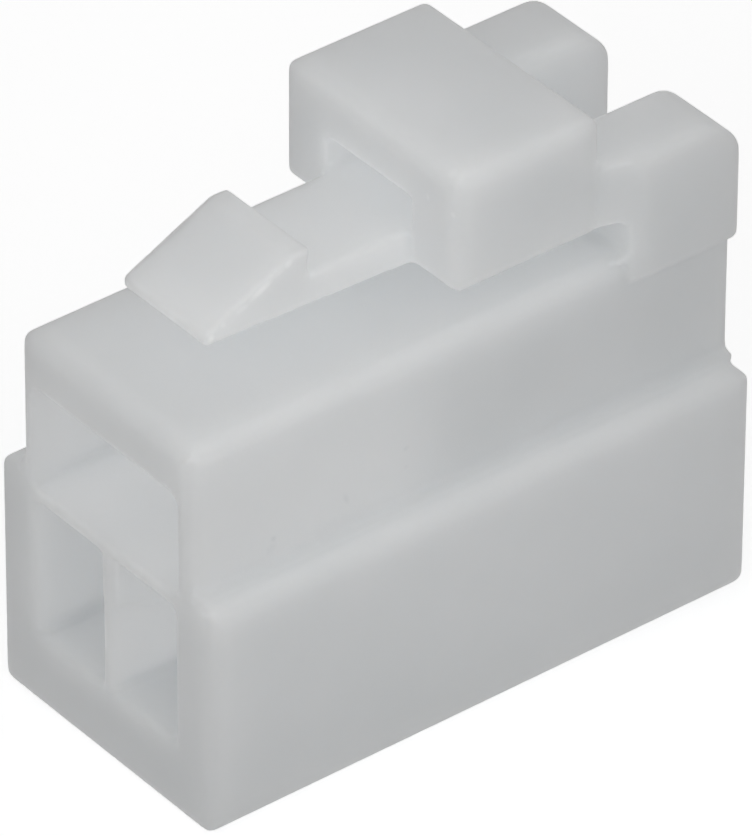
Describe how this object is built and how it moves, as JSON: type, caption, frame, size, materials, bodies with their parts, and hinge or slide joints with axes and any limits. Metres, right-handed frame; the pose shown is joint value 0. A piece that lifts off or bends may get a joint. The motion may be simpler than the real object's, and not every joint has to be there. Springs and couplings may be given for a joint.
{
  "type": "wire to board connector housing",
  "caption": "Moulded nylon housing for crimp contacts, with a stepped body, an open mating window, and a springy lock arm with a ramped hook and a press pad.",
  "frame": {"origin": "under the middle of the body, on its flat underside", "axes": "+X across the row of contacts, +Y from the mating face to the wire end, +Z towards the lock arm"},
  "size_m": [0.0074, 0.0146, 0.0134],
  "materials": {
    "housing": "natural milky polyamide 66, fine moulded surface"
  },
  "bodies": {
    "root": {"housing": "housing"}
  },
  "joints": []
}
